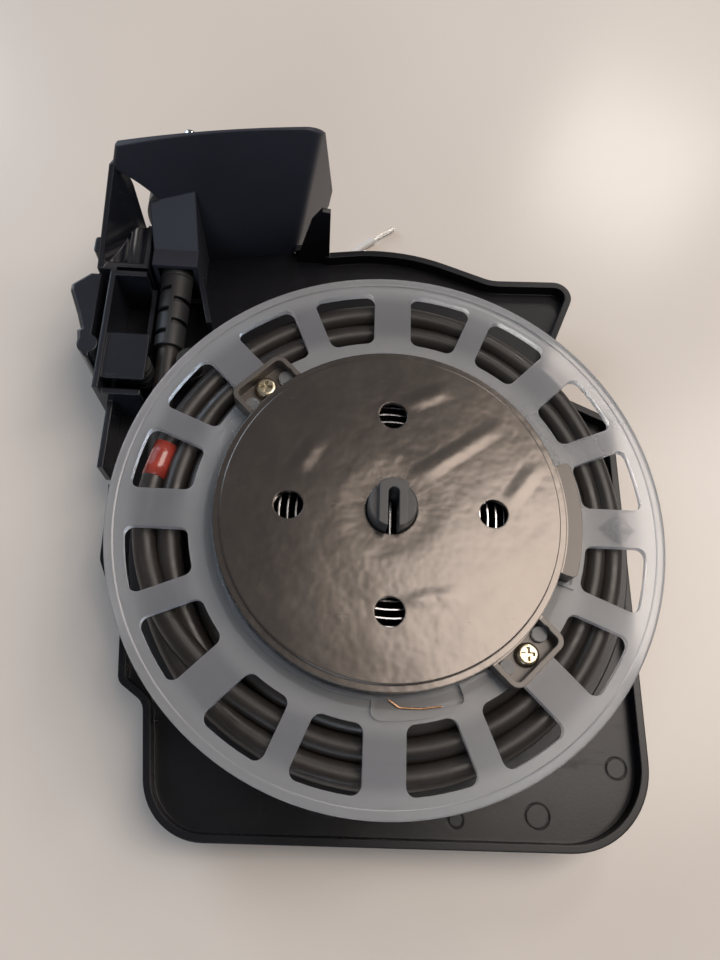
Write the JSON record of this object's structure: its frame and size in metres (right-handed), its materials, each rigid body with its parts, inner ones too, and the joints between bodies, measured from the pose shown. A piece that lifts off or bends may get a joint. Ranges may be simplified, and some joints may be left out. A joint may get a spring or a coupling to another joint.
{
  "type": "spring-return mains cord reel",
  "caption": "Mains cord reel on a base plate, with a windowed translucent flange, a round spring cover, a roller brake and a tall well where the plug parks.",
  "frame": {"origin": "on the reel's axle line, in the plane that the four screw bosses and the contact cover rest on", "axes": "+Z along the axle towards the spring cover, +Y from the axle to the plug well, which is the way the cord leaves, +X to the right of that seen from the cover"},
  "size_m": [0.1806, 0.2252, 0.0728],
  "materials": {
    "black_pvc": "smooth",
    "brass": "turned",
    "carbon": "pressed",
    "copper": "drawn",
    "cord_rubber": "smooth, slightly dusty",
    "cover_black": "satin, faintly mottled",
    "flange_clear": "translucent, frosted",
    "frame_black": "satin",
    "plated_pin": "plated",
    "plug_rubber": "moulded, satin",
    "red_tape": "glossy, torn edge",
    "roller_grey": "satin",
    "screw_steel": "zinc plated",
    "spring_steel": "rolled",
    "white_pvc": "smooth"
  },
  "bodies": {
    "frame": {"base_plate": "frame_black", "plug_well": "frame_black", "cord_guide": "frame_black", "axle_post": "frame_black", "axle_screw": "screw_steel", "retaining_clip": "spring_steel", "spring_tail": "spring_steel", "contact_cover": "frame_black", "contact_cover_screws": "screw_steel", "brush_holder": "frame_black", "brush_inner": "carbon", "brush_outer": "carbon", "brush_spring_inner": "spring_steel", "brush_spring_outer": "spring_steel", "motor_lead_white": "white_pvc", "motor_lead_black": "black_pvc", "white_lead_strands": "copper", "black_lead_strands": "copper", "brake_pin": "frame_black", "brake_spring": "spring_steel", "guide_roller_pin": "frame_black", "cord_span": "cord_rubber"},
    "reel": {"reel": "flange_clear", "rear_flange": "frame_black", "hub_bushing": "brass", "slip_ring_inner": "brass", "slip_ring_outer": "brass", "power_spring": "spring_steel", "spring_cover": "cover_black", "cover_screws": "screw_steel", "cord_winding": "cord_rubber", "cord_mark": "red_tape", "conductor_tail": "copper"},
    "plug": {"strain_relief": "plug_rubber", "plug_body": "plug_rubber", "plug_pins": "plated_pin"},
    "brake": {"brake_lever": "frame_black", "brake_roller_pin": "spring_steel"},
    "brake_roller": {"brake_roller": "roller_grey"},
    "guide_roller": {"guide_roller": "roller_grey"}
  },
  "joints": [
    {"name": "reel_spin", "type": "hinge", "parent": "frame", "child": "reel", "pos_m": [0, 0, 0.03], "axis": [0, 0, -1], "range_deg": [0, 3240]},
    {"name": "plug_pull", "type": "slide", "parent": "frame", "child": "plug", "axis": [0, 1, 0], "range_m": [0, 3.5]},
    {"name": "brake_lever_pivot", "type": "hinge", "parent": "frame", "child": "brake", "pos_m": [-0.0942, 0.0555, 0.026], "axis": [0, 0, 1], "range_deg": [-6, 0], "stiffness_Nm_per_rad": 0.05},
    {"name": "brake_roller_spin", "type": "hinge", "parent": "brake", "child": "brake_roller", "pos_m": [-0.0786, 0.051, 0.0257], "axis": [0, 0, 1], "continuous": true},
    {"name": "guide_roller_spin", "type": "hinge", "parent": "frame", "child": "guide_roller", "pos_m": [-0.063, 0.0535, 0.0257], "axis": [0, 0, 1], "continuous": true}
  ],
  "couplings": [
    {"joint": "plug_pull", "follows": "reel_spin", "m_per_rad": 0.0616}
  ]
}
